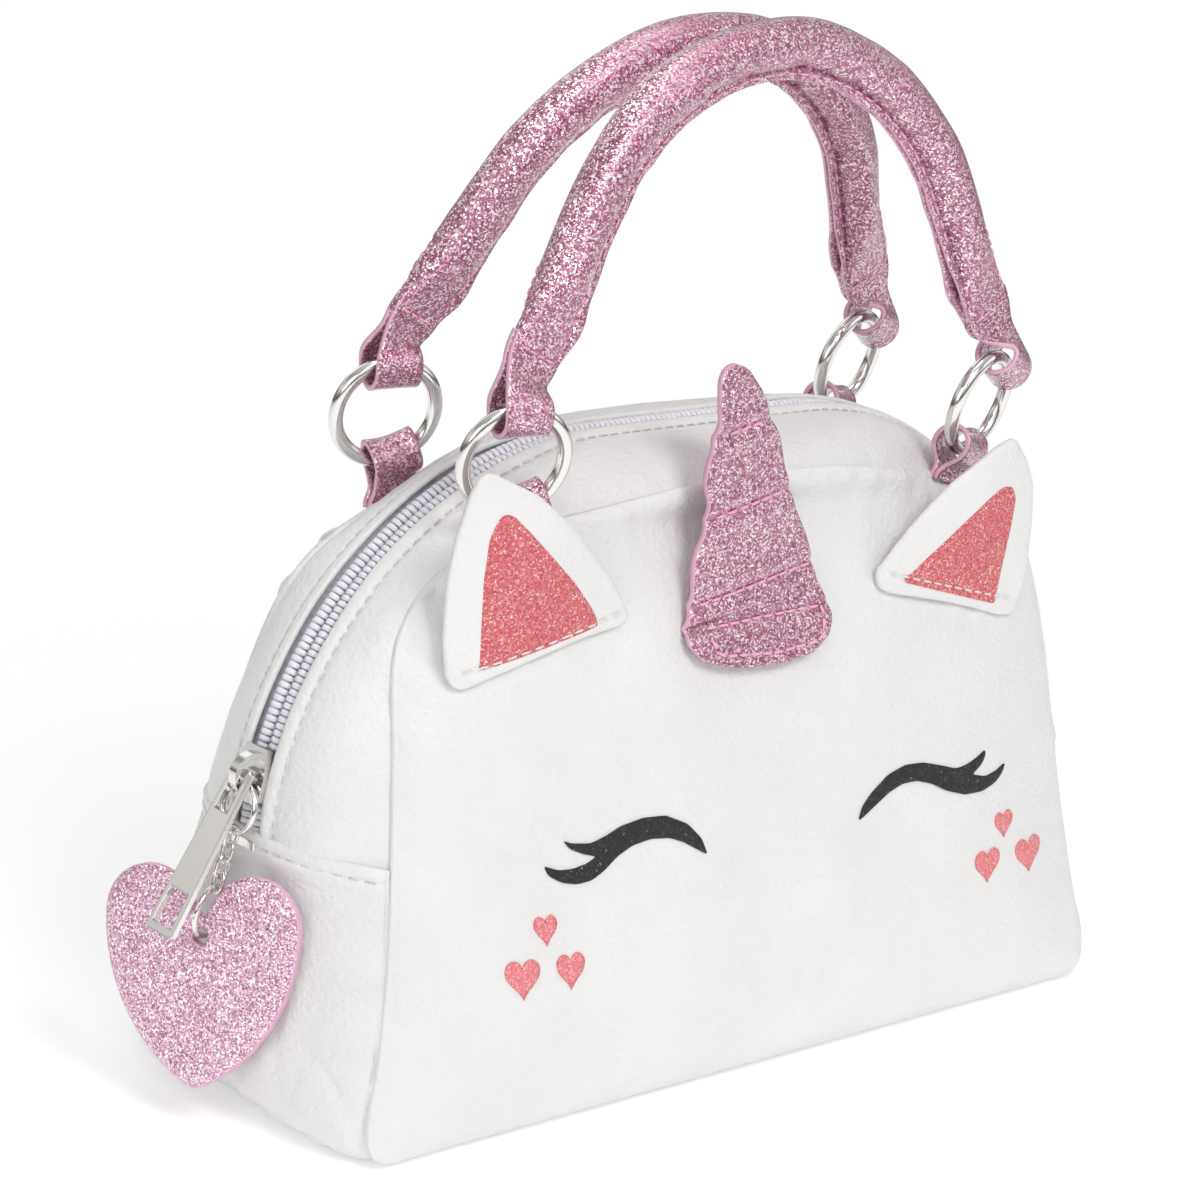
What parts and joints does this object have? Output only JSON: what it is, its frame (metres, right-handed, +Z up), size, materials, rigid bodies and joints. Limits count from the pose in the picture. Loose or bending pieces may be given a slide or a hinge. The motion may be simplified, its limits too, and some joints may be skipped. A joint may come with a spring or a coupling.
{
  "type": "handbag",
  "caption": "Small domed handbag with a curved top zip, roll handles on metal rings, sewn-on ears and horn, and a heart charm on the zip slider.",
  "frame": {"origin": "centre of the base, on the ground under the bag", "axes": "+Z up, front panel towards -Y, zip slider and charm on the -X side, handles spread along X"},
  "size_m": [0.2539, 0.0982, 0.2321],
  "materials": {
    "white_leather": "fine grain, satin",
    "mauve_glitter": "glitter coated",
    "coral_glitter": "glitter coated",
    "black_glitter": "glitter print",
    "nickel": "bright nickel",
    "zip": "woven tape and moulded coil",
    "lining": "plain woven",
    "board": "plain",
    "cord": "twisted cord"
  },
  "bodies": {
    "bag": {"front_panel": "white_leather", "back_panel": "white_leather", "zip_strip_front": "white_leather", "zip_strip_back": "white_leather", "side_base_gusset": "white_leather", "lining_front": "lining", "lining_back": "lining", "lining_gusset": "lining", "base_board": "board", "zip_tape_front": "zip", "zip_tape_back": "zip", "zip_coil_front": "zip", "zip_coil_back": "zip", "zip_stops": "nickel", "tab_front_left": "mauve_glitter", "tab_front_right": "mauve_glitter", "tab_back_left": "mauve_glitter", "tab_back_right": "mauve_glitter", "ear_left": "white_leather", "ear_right": "white_leather", "ear_glitter_left": "coral_glitter", "ear_glitter_right": "coral_glitter", "horn": "mauve_glitter", "lash_left": "black_glitter", "lash_right": "black_glitter", "cheek_hearts_left": "coral_glitter", "cheek_hearts_right": "coral_glitter"},
    "slider": {"zip_slider": "nickel"},
    "puller": {"zip_puller": "nickel"},
    "top_ring": {"charm_ring_top": "nickel"},
    "link_1": {"chain_link_1": "nickel"},
    "link_2": {"chain_link_2": "nickel"},
    "link_3": {"chain_link_3": "nickel"},
    "link_4": {"chain_link_4": "nickel"},
    "low_ring": {"charm_ring_low": "nickel"},
    "heart": {"heart_front_ply": "mauve_glitter", "heart_back_ply": "mauve_glitter"},
    "ring_fl": {"ring_front_left": "nickel"},
    "ring_fr": {"ring_front_right": "nickel"},
    "ring_bl": {"ring_back_left": "nickel"},
    "ring_br": {"ring_back_right": "nickel"},
    "handle_front": {"handle_front_cover": "mauve_glitter", "handle_front_cord": "cord"},
    "handle_back": {"handle_back_cover": "mauve_glitter", "handle_back_cord": "cord"}
  },
  "joints": [
    {"name": "zip_travel", "type": "hinge", "parent": "bag", "child": "slider", "pos_m": [-0.03, 0, 0.05689], "axis": [0, 1, 0], "range_deg": [0, 54]},
    {"name": "puller_swing", "type": "hinge", "parent": "slider", "child": "puller", "pos_m": [-0.1161, 0, 0.07519], "axis": [0, 1, 0], "range_deg": [0, 150]},
    {"name": "charm_swing", "type": "hinge", "parent": "slider", "child": "top_ring", "pos_m": [-0.11599, 0, 0.07103], "axis": [-0.9781, 0, 0.2079], "range_deg": [0, 10]},
    {"name": "link_1_swing", "type": "hinge", "parent": "top_ring", "child": "link_1", "pos_m": [-0.11779, 0, 0.06257], "axis": [-0.9781, 0, 0.2079], "range_deg": [0, 2]},
    {"name": "link_2_swing", "type": "hinge", "parent": "link_1", "child": "link_2", "pos_m": [-0.11834, 0, 0.06054], "axis": [-0.9781, 0, 0.2079], "range_deg": [0, 2]},
    {"name": "link_3_swing", "type": "hinge", "parent": "link_2", "child": "link_3", "pos_m": [-0.11951, 0, 0.0562], "axis": [-0.9781, 0, 0.2079], "range_deg": [0, 2]},
    {"name": "link_4_swing", "type": "hinge", "parent": "link_3", "child": "link_4", "pos_m": [-0.12011, 0, 0.05398], "axis": [-0.9781, 0, 0.2079], "range_deg": [0, 2]},
    {"name": "low_ring_swing", "type": "hinge", "parent": "link_4", "child": "low_ring", "pos_m": [-0.12095, 0, 0.05089], "axis": [-0.9781, 0, 0.2079], "range_deg": [0, 1]},
    {"name": "heart_swing", "type": "hinge", "parent": "low_ring", "child": "heart", "pos_m": [-0.12374, 0, 0.04056], "axis": [-0.9781, 0, 0.2079], "range_deg": [-8, 0]},
    {"name": "ring_front_left_turn", "type": "hinge", "parent": "bag", "child": "ring_fl", "pos_m": [-0.066, -0.0215, 0.13234], "axis": [1, 0, 0], "range_deg": [0, 25]},
    {"name": "ring_front_right_turn", "type": "hinge", "parent": "bag", "child": "ring_fr", "pos_m": [0.066, -0.0215, 0.13234], "axis": [1, 0, 0], "range_deg": [0, 25]},
    {"name": "ring_back_left_turn", "type": "hinge", "parent": "bag", "child": "ring_bl", "pos_m": [-0.066, 0.0215, 0.13234], "axis": [1, 0, 0], "range_deg": [-25, 0]},
    {"name": "ring_back_right_turn", "type": "hinge", "parent": "bag", "child": "ring_br", "pos_m": [0.066, 0.0215, 0.13234], "axis": [1, 0, 0], "range_deg": [-25, 0]},
    {"name": "handle_front_turn", "type": "hinge", "parent": "ring_fl", "child": "handle_front", "pos_m": [-0.07331, -0.02411, 0.15378], "axis": [1, 0, 0], "range_deg": [-3, 95]},
    {"name": "handle_back_turn", "type": "hinge", "parent": "ring_bl", "child": "handle_back", "pos_m": [-0.07331, 0.01889, 0.15378], "axis": [1, 0, 0], "range_deg": [-135, 0]}
  ],
  "couplings": [
    {"joint": "ring_front_right_turn", "follows": "ring_front_left_turn", "ratio": 1},
    {"joint": "ring_back_right_turn", "follows": "ring_back_left_turn", "ratio": 1}
  ]
}
